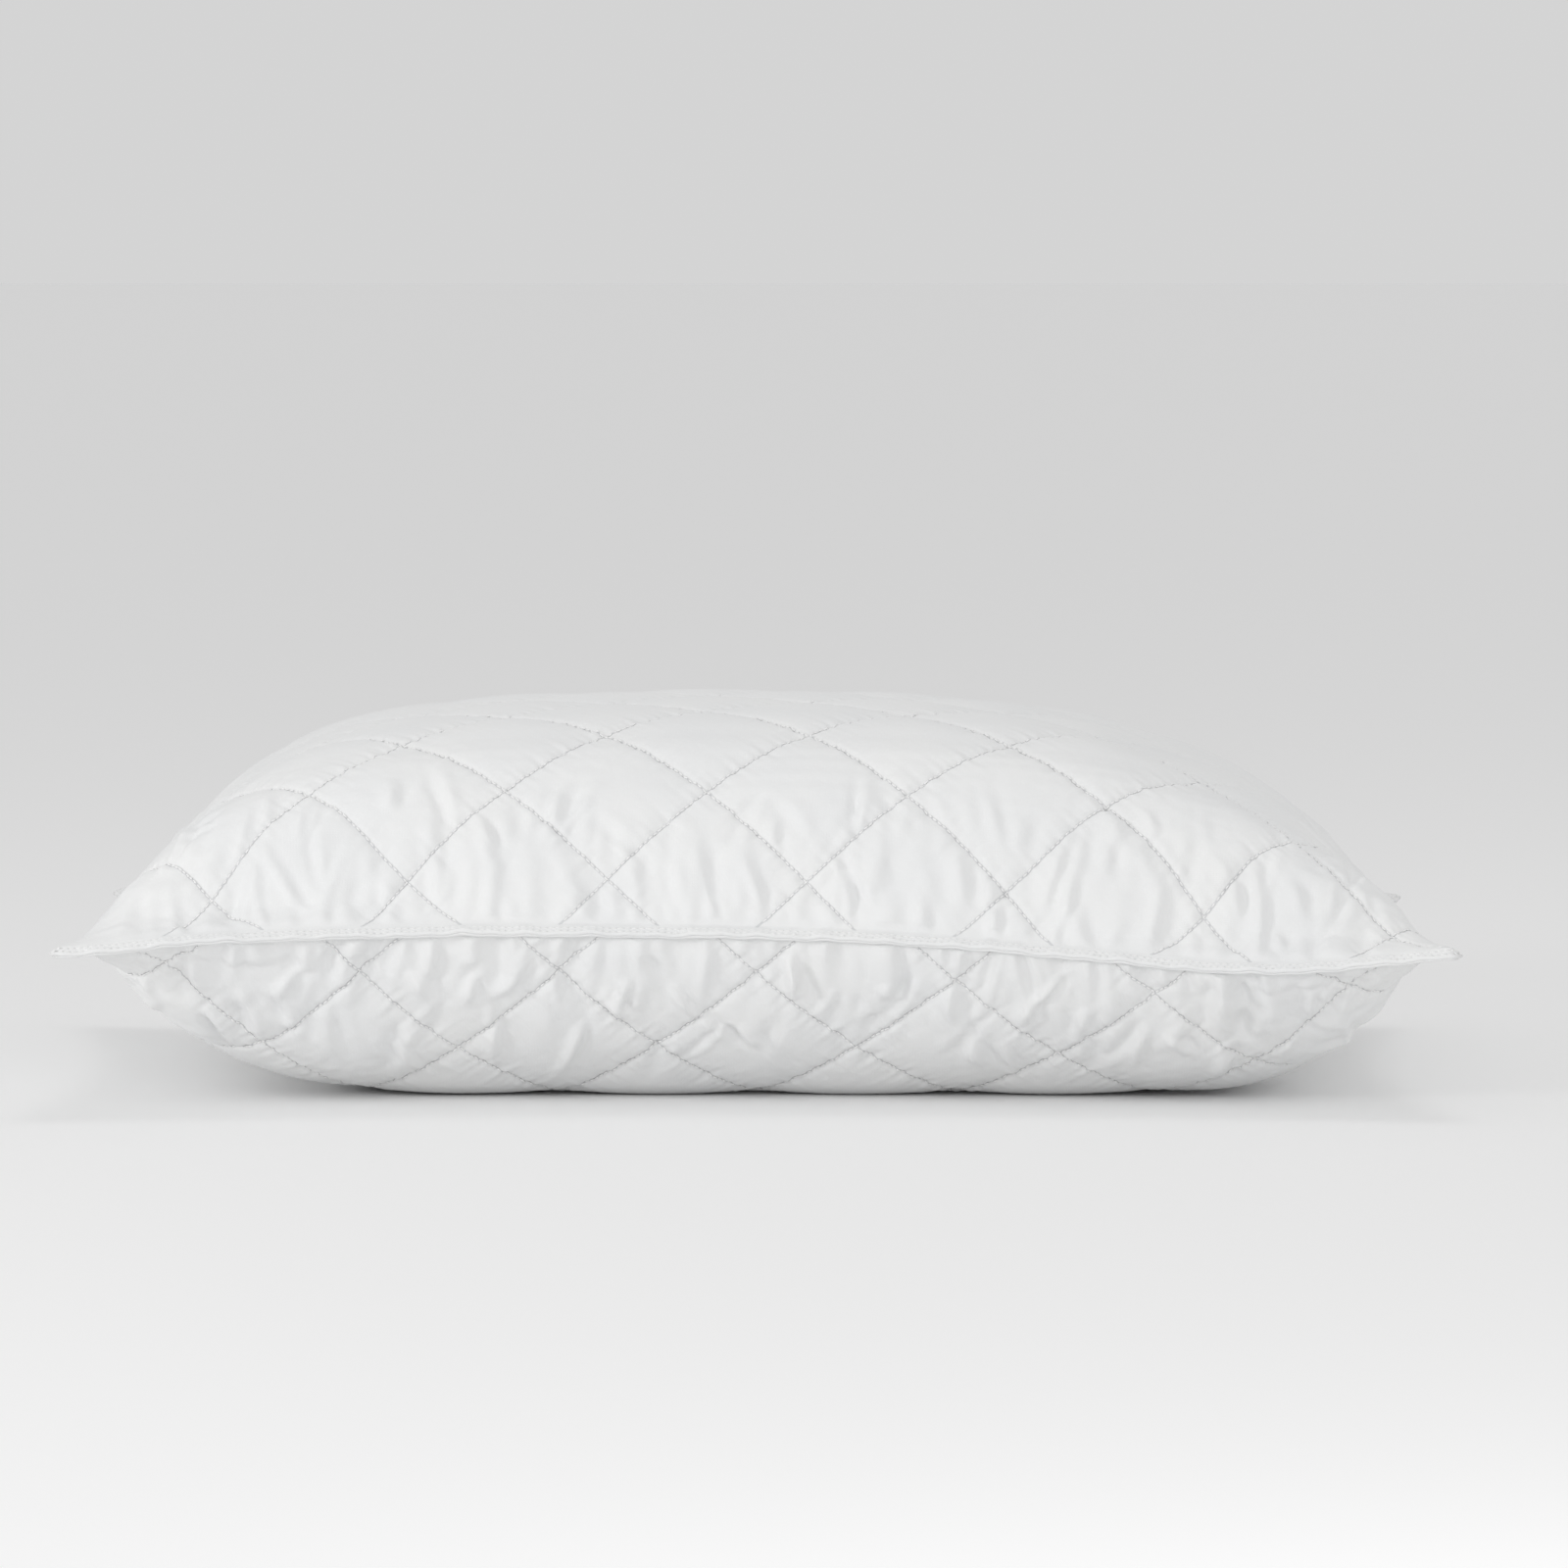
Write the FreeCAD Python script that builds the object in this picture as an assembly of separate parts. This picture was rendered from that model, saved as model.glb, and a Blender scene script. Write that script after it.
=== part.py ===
"""Bed pillow: two diamond-quilted cotton panels, seamed all round with a narrow topstitched flange,
and filled with loose polyester fibre.

Millimetres, +Z up, with the origin on the resting surface under the middle of the pillow.
+X runs along the pillow's length and +Y across it, towards the back.

Each quilted panel is a stack of face cloth, wadding and backing cloth. The stack is described on the
flat cut panel, in millimetres from its middle, and is then laid over the filled shape. Between the
quilting lines the wadding stands at its full thickness, and along them it is stitched down.
"""
import FreeCAD, Part
import math
import os

from FreeCAD import Vector

# Overall sizes of the filled pillow
FILLED_LENGTH = 664.0      # corner tip to corner tip, along X
FILLED_DEPTH = 472.0       # corner tip to corner tip, along Y
LOFT = 188.0               # resting surface to the highest quilted puff
SEAM_HEIGHT = 80.0         # resting surface to the middle of the seam
LONG_SEAM_PULL = 30.0      # the fill draws the middle of each long seam in this far
SHORT_SEAM_PULL = 26.0     # and the middle of each short seam this far

# The cut panels, from seam line to seam line
CUT_LENGTH = 711.2
CUT_DEPTH = 508.0

# Shape of the filled section, from its middle (0) to the seam (1): height is
# (1 - fraction ** power) ** rounding
TOP_LONG_POWER, TOP_LONG_ROUNDING = 3.0, 0.6
TOP_SHORT_POWER, TOP_SHORT_ROUNDING = 3.8, 0.62
BOTTOM_LONG_POWER, BOTTOM_LONG_ROUNDING = 6.0, 0.55
BOTTOM_SHORT_POWER, BOTTOM_SHORT_ROUNDING = 5.0, 0.6
SEAM_SOFTENING = 0.03      # keeps the section's slope finite at the seam

# The quilted stack
FACE_CLOTH = 0.5
BACKING_CLOTH = 0.4
WADDING = 5.0              # in the middle of a diamond
WADDING_STITCHED = 0.7     # under a line of stitches
SEAM_FADE = 26.0           # the wadding reaches its full thickness this far from the seam line
SETTLE = 2.4               # how far the resting surface presses the lowest puffs in

# Quilting pattern: two families of diagonal lines, each DIAMOND apart along X and along Y
DIAMOND = 101.6
TOP_PHASE = (0.0, 50.8)    # X + Y and X - Y of one line of each family, on the top panel
BOTTOM_PHASE = (-25.4, 25.4)
QUILTING_END_GAP = 4.0     # quilting lines stop this far from the seam line

# Edge
FLANGE_WIDTH = 5.0         # seam line to the outer edge
PANEL_GAP = 0.7            # between the two backings inside the flange
TOPSTITCH_ROWS = (1.5, 3.8)  # distance of each row from the outer edge
MAIN_SEAM_INSET = 0.6      # main seam, hidden inside the flange, from the outer edge
CLOSING_LENGTH = 220.0     # the filling opening in the -X end, stitched shut after filling
CLOSING_INSET = 2.65       # from the outer edge

# Threads, fill and label
THREAD = 0.4               # thickness of a sewing thread
THREAD_CLEARANCE = 0.05
FILL_CLEARANCE = 1.1       # leaves room for the bobbin threads inside the backings
FILL_EDGE_CLEARANCE = 3.5  # the same near the seams, where the panels stand steeply
FILL_CLEARANCE_POWER = 6   # how late the clearance grows towards the seams
FILL_EDGE_INSET = 7.0      # the fill stops this far inside the seam line
LABEL_WIDTH = 32.0
LABEL_DROP = 44.0
LABEL_THICKNESS = 0.35
LABEL_OFFSET = 205.0       # middle of the label along X, on the long seam at the back (+Y)

# How finely the shapes are described
STATIONS_PER_DIAMOND = 10
EDGE_STATIONS = (0.0, 1.2, 2.6, 4.4, 7.0, 11.0)   # inwards from the seam line
FLANGE_STATIONS = (0.34, 0.67, 1.0)                # shares of the flange's width
SECTION_STEPS = 400
NORMAL_REACH = 1.5         # a surface's slope is taken over this far to each side
THREAD_STEP = 9.0
DEGREE = 3
SEWING = 0.001             # edges closer than this are one edge

PANEL_STITCHED = FACE_CLOTH + WADDING_STITCHED + BACKING_CLOTH
PANEL_FULL = FACE_CLOTH + WADDING + BACKING_CLOTH


class Section:
    """One half of the filled section along one axis: the crown's height over a flat cut length."""

    def __init__(self, power, rounding, half_width, rise, cut_half):
        self.power = power
        self.rounding = rounding
        self.cut_half = cut_half
        self.arc = [0.0]
        last = (0.0, rise)
        for step in range(1, SECTION_STEPS + 1):
            share = step / SECTION_STEPS
            point = (share * half_width, rise * self.height(share))
            self.arc.append(self.arc[-1] + math.dist(last, point))
            last = point

    def height(self, share):
        """Share of the full rise at this share of the way from the middle to the seam."""
        low = SEAM_SOFTENING ** self.rounding
        high = (1 + SEAM_SOFTENING) ** self.rounding
        here = (1 - min(abs(share), 1.0) ** self.power + SEAM_SOFTENING) ** self.rounding
        return (here - low) / (high - low)

    def share_at(self, flat):
        """Share of the way out, signed, at a flat distance from the panel's middle."""
        target = min(abs(flat) / self.cut_half, 1.0) * self.arc[-1]
        index = 1
        while index < SECTION_STEPS and self.arc[index] < target:
            index += 1
        span = self.arc[index] - self.arc[index - 1]
        share = (index - 1 + (target - self.arc[index - 1]) / span) / SECTION_STEPS
        return math.copysign(min(share, 1.0), flat)


class Side:
    """The top or the bottom quilted panel: where its layers lie in the filled pillow."""

    def __init__(self, up, rise, long_shape, short_shape, phase):
        self.up = up
        self.rise = rise
        self.phase = phase
        self.long = Section(*long_shape, half_length(0.0), rise, CUT_LENGTH / 2)
        self.short = Section(*short_shape, half_depth(0.0), rise, CUT_DEPTH / 2)

    def on_plan(self, share_x, share_y, flange_x, flange_y):
        """Inner surface of the backing, at shares of the way to each seam and out over the flange."""
        x = share_x * half_length(share_y) + flange_x
        y = share_y * half_depth(share_x) + flange_y
        crown = self.rise * self.long.height(share_x) * self.short.height(share_y)
        return Vector(x, y, SEAM_HEIGHT + self.up * (PANEL_GAP / 2 + crown))

    def inner_point(self, flat_x, flat_y):
        return self.on_plan(
            self.long.share_at(flat_x),
            self.short.share_at(flat_y),
            past_seam(flat_x, CUT_LENGTH / 2),
            past_seam(flat_y, CUT_DEPTH / 2),
        )

    def outward(self, flat_x, flat_y):
        """Unit normal of the backing's inner surface, pointing out of the pillow."""
        reach = NORMAL_REACH
        along_x = self.inner_point(flat_x + reach, flat_y) - self.inner_point(flat_x - reach, flat_y)
        along_y = self.inner_point(flat_x, flat_y + reach) - self.inner_point(flat_x, flat_y - reach)
        normal = along_x.cross(along_y)
        normal.normalize()
        return normal * self.up

    def puff(self, flat_x, flat_y):
        """0 on a quilting line, 1 in the middle of a diamond."""
        first = math.sin(math.pi * (flat_x + flat_y - self.phase[0]) / DIAMOND)
        second = math.sin(math.pi * (flat_x - flat_y - self.phase[1]) / DIAMOND)
        return (first * second) ** 2

    def wadding_at(self, flat_x, flat_y):
        to_seam = min(CUT_LENGTH / 2 - abs(flat_x), CUT_DEPTH / 2 - abs(flat_y))
        fade = min(max(to_seam / SEAM_FADE, 0.0), 1.0)
        fade = fade * fade * (3 - 2 * fade)
        return WADDING_STITCHED + (WADDING - WADDING_STITCHED) * fade * self.puff(flat_x, flat_y)

    def depths(self, flat_x, flat_y):
        """How far out from the backing's inner surface each of the four layer surfaces lies."""
        wadding = self.wadding_at(flat_x, flat_y)
        return (0.0, BACKING_CLOTH, BACKING_CLOTH + wadding, BACKING_CLOTH + wadding + FACE_CLOTH)

    def surfaces(self):
        """The four layer surfaces, from the backing's inner surface to the face cloth's outer one."""
        knots_x = breakpoints(CUT_LENGTH / 2)
        knots_y = breakpoints(CUT_DEPTH / 2)
        # Where the pillow rests, the cloth's inner side stays its thickness above the resting
        # surface, and the outer side may dip just under it, to be cut flat there.
        lowest = (-math.inf, -math.inf, FACE_CLOTH, -FACE_CLOTH / 2)
        nets = [[], [], [], []]
        for flat_x in greville(knots_x):
            rows = [[], [], [], []]
            for flat_y in greville(knots_y):
                base = self.inner_point(flat_x, flat_y)
                normal = self.outward(flat_x, flat_y)
                for layer, depth in enumerate(self.depths(flat_x, flat_y)):
                    point = base + normal * depth
                    point.z = max(point.z, lowest[layer])
                    rows[layer].append(point)
            for net, row in zip(nets, rows):
                net.append(row)
        return [spline_surface(net, knots_x, knots_y) for net in nets]


def half_length(share_y):
    """Half the seam-to-seam length, at a share of the way from the middle to a long seam."""
    return FILLED_LENGTH / 2 - FLANGE_WIDTH - SHORT_SEAM_PULL * (1 - share_y * share_y)


def half_depth(share_x):
    return FILLED_DEPTH / 2 - FLANGE_WIDTH - LONG_SEAM_PULL * (1 - share_x * share_x)


def past_seam(flat, cut_half):
    """How far out over the flange a flat position is, signed."""
    return math.copysign(max(abs(flat) - cut_half, 0.0), flat)


def breakpoints(cut_half):
    """Flat positions from one outer edge to the other: close together at the seams, then even."""
    inner = cut_half - EDGE_STATIONS[-1]
    count = math.ceil(2 * inner / (DIAMOND / STATIONS_PER_DIAMOND))
    even = [-inner + 2 * inner * i / count for i in range(1, count)]
    edge = [cut_half - inward for inward in EDGE_STATIONS]
    edge += [cut_half + share * FLANGE_WIDTH for share in FLANGE_STATIONS]
    return sorted([-value for value in edge] + even + edge)


def greville(knots):
    """Positions of a clamped cubic spline's control points."""
    full = [knots[0]] * DEGREE + list(knots) + [knots[-1]] * DEGREE
    return [sum(full[i + 1:i + 1 + DEGREE]) / DEGREE for i in range(len(full) - DEGREE - 1)]


def spline_surface(net, knots_x, knots_y):
    surface = Part.BSplineSurface()
    surface.buildFromPolesMultsKnots(
        net, multiplicities(knots_x), multiplicities(knots_y), knots_x, knots_y,
        False, False, DEGREE, DEGREE,
    )
    return surface


def multiplicities(knots):
    return [DEGREE + 1] + [1] * (len(knots) - 2) + [DEGREE + 1]


def closed_solid(faces):
    """One solid from faces that meet edge to edge, with its volume positive."""
    shell = Part.makeShell(faces)
    shell.sewShape(SEWING)
    solid = Part.makeSolid(shell)
    if solid.Volume < 0:
        solid.reverse()
    if not solid.isValid():
        raise ValueError("a solid isn't valid")
    return solid


def between(first, second):
    """The solid between two spline surfaces that share their breakpoints, with ruled sides."""
    u_low, u_high, v_low, v_high = first.bounds()
    edges = [(first.uIso(u), second.uIso(u)) for u in (u_low, u_high)]
    edges += [(first.vIso(v), second.vIso(v)) for v in (v_low, v_high)]
    sides = [ruled_face(one, other) for one, other in edges]
    return closed_solid([first.toShape(), second.toShape()] + sides)


def ruled_face(first, second):
    """The face that straight lines sweep between two spline curves with the same breakpoints."""
    surface = Part.BSplineSurface()
    surface.buildFromPolesMultsKnots(
        [first.getPoles(), second.getPoles()], [2, 2], first.getMultiplicities(),
        [0.0, 1.0], first.getKnots(), False, False, 1, DEGREE,
    )
    return surface.toShape()


def thread_solid(points, normals):
    """A thread of square section through points, standing on a surface with these normals."""
    half = THREAD / 2
    rails = [[], [], [], []]
    corners = ((-1, -1), (1, -1), (1, 1), (-1, 1))
    for i, (point, normal) in enumerate(zip(points, normals)):
        ahead = points[min(i + 1, len(points) - 1)] - points[max(i - 1, 0)]
        across = ahead.cross(normal)
        across.normalize()
        for rail, (side, lift) in zip(rails, corners):
            rail.append(point + across * (side * half) + normal * (lift * half))
    curves = []
    for rail in rails:
        curve = Part.BSplineCurve()
        curve.interpolate(Points=rail, Parameters=[float(i) for i in range(len(rail))])
        curves.append(curve)
    faces = [ruled_face(curves[i], curves[(i + 1) % 4]) for i in range(4)]
    for end in (0, -1):
        ring = [rail[end] for rail in rails]
        faces.append(Part.Face(Part.makePolygon(ring + [ring[0]])))
    return closed_solid(faces)


def quilting_lines(phase):
    """Each line's two flat end points, with which family it belongs to."""
    end_x = CUT_LENGTH / 2 - QUILTING_END_GAP
    end_y = CUT_DEPTH / 2 - QUILTING_END_GAP
    lines = []
    for family, slope in ((0, -1), (1, 1)):
        first = math.ceil((-end_x - end_y - phase[family]) / DIAMOND)
        last = math.floor((end_x + end_y - phase[family]) / DIAMOND)
        for number in range(first, last + 1):
            crossing = phase[family] + number * DIAMOND
            low = max(-end_x, crossing - end_y)
            high = min(end_x, crossing + end_y)
            if high - low > 4 * THREAD_STEP:
                ends = [(x, slope * (x - crossing)) for x in (low, high)]
                lines.append((family, ends))
    return lines


def quilting_thread(side, surface, outside):
    """One thread along every quilting line, on the outside of a surface or on its inside."""
    solids = []
    away = 1 if outside else -1
    for family, ((x0, y0), (x1, y1)) in quilting_lines(side.phase):
        steps = math.ceil(math.hypot(x1 - x0, y1 - y0) / THREAD_STEP)
        lift = THREAD_CLEARANCE + THREAD / 2 + family * (THREAD + THREAD_CLEARANCE)
        points = []
        normals = []
        for i in range(steps + 1):
            x = x0 + (x1 - x0) * i / steps
            y = y0 + (y1 - y0) * i / steps
            normal = surface.normal(x, y) * (side.up * away)
            points.append(surface.value(x, y) + normal * lift)
            normals.append(normal)
        solids.append(thread_solid(points, normals))
    return Part.makeCompound(solids)


def edge_row(inset, height, axis, end, limit=None):
    """A straight-lying thread along one side of the flange, at this distance from its outer edge."""
    half = (FILLED_LENGTH if axis == "x" else FILLED_DEPTH) / 2 - inset - THREAD
    reach = min(half, limit) if limit else half
    steps = math.ceil(reach / THREAD_STEP)
    points = []
    for i in range(steps + 1):
        along = -reach + 2 * reach * i / steps
        share = along / half
        if axis == "x":
            out = half_depth(share) + FLANGE_WIDTH - inset
            points.append(Vector(along, end * out, height))
        else:
            out = half_length(share) + FLANGE_WIDTH - inset
            points.append(Vector(end * out, along, height))
    return thread_solid(points, [Vector(0, 0, 1)] * len(points))


def round_the_edge(insets, height):
    """Rows of thread along all four sides. Each side's row passes over or under its neighbours."""
    step = THREAD + THREAD_CLEARANCE
    above = 1 if height >= SEAM_HEIGHT else -1
    rows = []
    for inset in insets:
        for end in (-1, 1):
            rows.append(edge_row(inset, height, "x", end))
            rows.append(edge_row(inset, height + above * step, "y", end))
    return rows


def flange_height(above):
    """Middle of a thread that lies on the flange's upper (1) or lower (-1) face."""
    return SEAM_HEIGHT + above * (PANEL_GAP / 2 + PANEL_STITCHED + THREAD_CLEARANCE + THREAD / 2)


def fibre_fill(top, bottom):
    """The loose fibre, a little smaller all round than the space inside the two backings."""
    share_x = 1 - FILL_EDGE_INSET / half_length(0.0)
    share_y = 1 - FILL_EDGE_INSET / half_depth(0.0)
    surfaces = []
    for side in (top, bottom):
        knots_x = breakpoints(CUT_LENGTH / 2)
        knots_y = breakpoints(CUT_DEPTH / 2)
        outer_x, outer_y = knots_x[-1], knots_y[-1]
        net = []
        for flat_x in greville(knots_x):
            row = []
            for flat_y in greville(knots_y):
                at_x = side.long.share_at(flat_x / outer_x * CUT_LENGTH / 2) * share_x
                at_y = side.short.share_at(flat_y / outer_y * CUT_DEPTH / 2) * share_y
                point = side.on_plan(at_x, at_y, 0.0, 0.0)
                room = max((point.z - SEAM_HEIGHT) * side.up - PANEL_GAP / 2, 0.0)
                near_edge = max(abs(at_x), abs(at_y)) ** FILL_CLEARANCE_POWER
                clearance = FILL_CLEARANCE + (FILL_EDGE_CLEARANCE - FILL_CLEARANCE) * near_edge
                point.z = SEAM_HEIGHT + side.up * (THREAD / 2 + max(room - clearance, 0.0))
                row.append(point)
            net.append(row)
        surfaces.append(spline_surface(net, knots_x, knots_y))
    return between(*surfaces)


def care_label():
    """A blank woven label, caught under the outer edge of the flange at the back and hanging down."""
    half = half_length(1.0) + FLANGE_WIDTH
    share = LABEL_OFFSET / half
    outer = half_depth(share) + FLANGE_WIDTH
    slope = 2 * LONG_SEAM_PULL * share / half
    top = SEAM_HEIGHT - PANEL_GAP / 2 - PANEL_STITCHED
    corner = Vector(-LABEL_WIDTH / 2, -LABEL_THICKNESS, -LABEL_DROP)
    label = Part.makeBox(LABEL_WIDTH, LABEL_THICKNESS, LABEL_DROP, corner)
    label.rotate(Vector(), Vector(0, 0, 1), math.degrees(math.atan(slope)))
    label.translate(Vector(LABEL_OFFSET, outer - LABEL_THICKNESS / 2, top))
    return label


def below_floor():
    """Everything under the resting surface."""
    return Part.makeBox(
        2 * FILLED_LENGTH, 2 * FILLED_DEPTH, LOFT, Vector(-FILLED_LENGTH, -FILLED_DEPTH, -LOFT)
    )


def build():
    top = Side(
        1, LOFT - SEAM_HEIGHT - PANEL_GAP / 2 - PANEL_FULL,
        (TOP_LONG_POWER, TOP_LONG_ROUNDING), (TOP_SHORT_POWER, TOP_SHORT_ROUNDING), TOP_PHASE,
    )
    bottom = Side(
        -1, SEAM_HEIGHT + SETTLE - PANEL_GAP / 2 - PANEL_FULL,
        (BOTTOM_LONG_POWER, BOTTOM_LONG_ROUNDING), (BOTTOM_SHORT_POWER, BOTTOM_SHORT_ROUNDING),
        BOTTOM_PHASE,
    )
    parts = {}
    for name, side in (("top", top), ("bottom", bottom)):
        inner, backing, wadding, face = side.surfaces()
        parts[name + "_backing_cloth"] = between(inner, backing)
        parts[name + "_wadding"] = between(backing, wadding)
        parts[name + "_face_cloth"] = between(wadding, face)
        parts[name + "_quilting_needle_thread"] = quilting_thread(side, face, True)
        parts[name + "_quilting_bobbin_thread"] = quilting_thread(side, inner, False)
    parts["bottom_face_cloth"] = parts["bottom_face_cloth"].cut(below_floor())
    parts["fibre_fill"] = fibre_fill(top, bottom)

    parts["main_seam_thread"] = Part.makeCompound(main_seam())
    for name, above in (("needle", 1), ("bobbin", -1)):
        rows = round_the_edge(TOPSTITCH_ROWS, flange_height(above))
        parts["edge_topstitch_" + name + "_thread"] = Part.makeCompound(rows)
    parts["closing_seam_thread"] = Part.makeCompound([
        edge_row(CLOSING_INSET, flange_height(above), "y", -1, CLOSING_LENGTH / 2)
        for above in (1, -1)
    ])
    parts["care_label"] = care_label()
    return parts


def main_seam():
    """The hidden seam along all four sides, which stops short of itself at the corners."""
    rows = []
    for end in (-1, 1):
        stop_x = FILLED_LENGTH / 2 - MAIN_SEAM_INSET - 2 * THREAD
        stop_y = FILLED_DEPTH / 2 - MAIN_SEAM_INSET - 2 * THREAD
        rows.append(edge_row(MAIN_SEAM_INSET, SEAM_HEIGHT, "x", end, stop_x))
        rows.append(edge_row(MAIN_SEAM_INSET, SEAM_HEIGHT, "y", end, stop_y - 2 * THREAD))
    return rows


def main():
    os.makedirs("parts", exist_ok=True)
    for name, shape in build().items():
        shape.exportStep(os.path.join("parts", name + ".step"))
        box = shape.BoundBox
        print(f"{name}: {len(shape.Solids)} solids, {shape.Volume / 1000:.1f} cm3, valid "
              f"{shape.isValid()}, z {box.ZMin:.2f} to {box.ZMax:.2f}, "
              f"{box.XLength:.1f} x {box.YLength:.1f}")


main()
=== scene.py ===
# %% [markdown]
# A bed pillow is two panels of white quilted cotton, sewn together all round and filled with loose
# fibre. Nothing in it is stiff, so its whole look comes from how the cloth is cut, where it is
# stitched, and how the fill pushes it out. We follow that order here: cut flat panels, fill them,
# let a cloth simulation settle them, and then add quilting, folds, the flange and each stitch.

# %% Load the frame
import math

import bpy
import numpy as np
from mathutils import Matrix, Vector


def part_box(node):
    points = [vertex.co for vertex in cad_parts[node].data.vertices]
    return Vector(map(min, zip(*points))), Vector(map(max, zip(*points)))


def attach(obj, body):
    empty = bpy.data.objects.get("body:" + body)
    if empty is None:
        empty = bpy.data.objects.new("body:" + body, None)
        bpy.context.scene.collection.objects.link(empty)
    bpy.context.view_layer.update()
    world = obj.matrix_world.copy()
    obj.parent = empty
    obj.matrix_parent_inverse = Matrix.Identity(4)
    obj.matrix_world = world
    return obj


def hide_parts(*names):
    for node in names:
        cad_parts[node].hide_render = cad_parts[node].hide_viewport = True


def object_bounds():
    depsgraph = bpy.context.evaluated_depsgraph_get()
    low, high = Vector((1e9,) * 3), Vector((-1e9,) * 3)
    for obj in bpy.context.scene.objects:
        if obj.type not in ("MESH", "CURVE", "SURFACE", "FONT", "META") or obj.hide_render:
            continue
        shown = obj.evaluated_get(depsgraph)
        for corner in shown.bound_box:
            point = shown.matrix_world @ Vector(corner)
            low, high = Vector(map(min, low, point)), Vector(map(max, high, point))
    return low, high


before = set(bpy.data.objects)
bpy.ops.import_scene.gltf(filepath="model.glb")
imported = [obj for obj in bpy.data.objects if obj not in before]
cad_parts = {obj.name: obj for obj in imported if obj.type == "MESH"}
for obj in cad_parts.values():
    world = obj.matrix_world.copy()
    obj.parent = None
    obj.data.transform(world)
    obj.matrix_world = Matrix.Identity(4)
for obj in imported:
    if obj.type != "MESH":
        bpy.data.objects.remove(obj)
cad_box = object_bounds()
low, high = (np.array(corner) for corner in cad_box)
print("frame loaded, box in mm:", np.round((high - low) * 1000, 1))

MM = 0.001
HALF_LENGTH, HALF_DEPTH, LOFT = (high[0] - low[0]) / 2, (high[1] - low[1]) / 2, high[2] - low[2]
SEAM_Z = sum(corner[2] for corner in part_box("main_seam_thread")) / 2
chance = np.random.default_rng(7)

# %% [markdown]
# The panels start as flat rectangles, exactly as they are cut. A regular grid of small squares is
# the cloth: its side is a twentieth of a quilting diamond, so the stitch lines run through grid
# points. Every point keeps its place on the flat cloth, and quilting and weave are laid out there.

# %% Cut the flat panels
CUT_LENGTH = 711.2 * MM
CUT_DEPTH = 508.0 * MM
DIAMOND = 101.6 * MM
CELL = DIAMOND / 20
FLANGE_WIDTH = 5.0 * MM
CELLS_X = round(CUT_LENGTH / CELL)
CELLS_Y = round(CUT_DEPTH / CELL)

flat_x = np.linspace(-CUT_LENGTH / 2, CUT_LENGTH / 2, CELLS_X + 1)
flat_y = np.linspace(-CUT_DEPTH / 2, CUT_DEPTH / 2, CELLS_Y + 1)
print("cloth grid:", CELLS_X, "by", CELLS_Y)

# %% [markdown]
# Filled, each panel rises away from the seam, turns over a rounded shoulder and flattens out. A
# section is drawn by a few points from the middle of the pillow (0) to its seam (1). The cloth
# doesn't stretch, so a point is found along the section by its distance on the flat cloth.


# %% Draw the filled sections
def smooth_curve(points, at):
    """A smooth curve through a few points, which doesn't overshoot them."""
    x, y = np.array(points).T
    steps = np.diff(y) / np.diff(x)
    slopes = np.concatenate([[0.0], (steps[1:] + steps[:-1]) / 2, [steps[-1]]])
    for i, step in enumerate(steps):
        largest = 3 * abs(step)
        slopes[i] = np.clip(slopes[i], -largest, largest)
        slopes[i + 1] = np.clip(slopes[i + 1], -largest, largest)
    i = np.clip(np.searchsorted(x, at, side="right") - 1, 0, len(steps) - 1)
    width = x[i + 1] - x[i]
    t = (at - x[i]) / width
    return (
        y[i] * (1 + 2 * t) * (1 - t) ** 2
        + slopes[i] * width * t * (1 - t) ** 2
        + y[i + 1] * t * t * (3 - 2 * t)
        + slopes[i + 1] * width * t * t * (t - 1)
    )


TOP_SHORT = [(0, 1), (0.374, 0.984), (0.618, 0.907), (0.825, 0.637), (0.913, 0.19), (1, 0)]
BOTTOM_SHORT = [(0, 1), (0.539, 0.985), (0.762, 0.729), (0.913, 0.225), (1, 0)]
TOP_LEFT = [(0, 1), (0.26, 0.99), (0.49, 0.945), (0.645, 0.87), (0.80, 0.66), (0.92, 0.34), (1, 0)]
TOP_RIGHT = [(0, 1), (0.32, 0.965), (0.50, 0.905), (0.655, 0.79), (0.80, 0.62), (0.93, 0.30), (1, 0)]
BOTTOM_LEFT = [(0, 1), (0.50, 0.99), (0.74, 0.87), (0.90, 0.54), (1, 0)]
BOTTOM_RIGHT = [(0, 1), (0.56, 0.985), (0.78, 0.89), (0.92, 0.53), (1, 0)]
LONG_SEAM_PULL = 30 * MM
SHORT_SEAM_PULL = 24 * MM
GATHER_REACH = 3
STEPS = np.linspace(0, 1, 401)


def half_length(share_y):
    return HALF_LENGTH - FLANGE_WIDTH - SHORT_SEAM_PULL * (1 - share_y**2)


def half_depth(share_x):
    return HALF_DEPTH - FLANGE_WIDTH - LONG_SEAM_PULL * (1 - share_x**2)


def share_along(points, half_width, rise, flat, cut_half):
    """How far out a flat position comes on the filled section, from 0 to 1 with its sign."""
    x, z = STEPS * half_width, rise * smooth_curve(points, STEPS)
    arc = np.concatenate([[0], np.cumsum(np.hypot(np.diff(x), np.diff(z)))])
    return np.sign(flat) * np.interp(np.abs(flat) / cut_half * arc[-1], arc, STEPS)


def gathered(over, even, across):
    """Over the crown the cloth follows its section. At a seam it is gathered evenly instead."""
    return over + (even - over) * np.abs(across) ** GATHER_REACH


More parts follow.
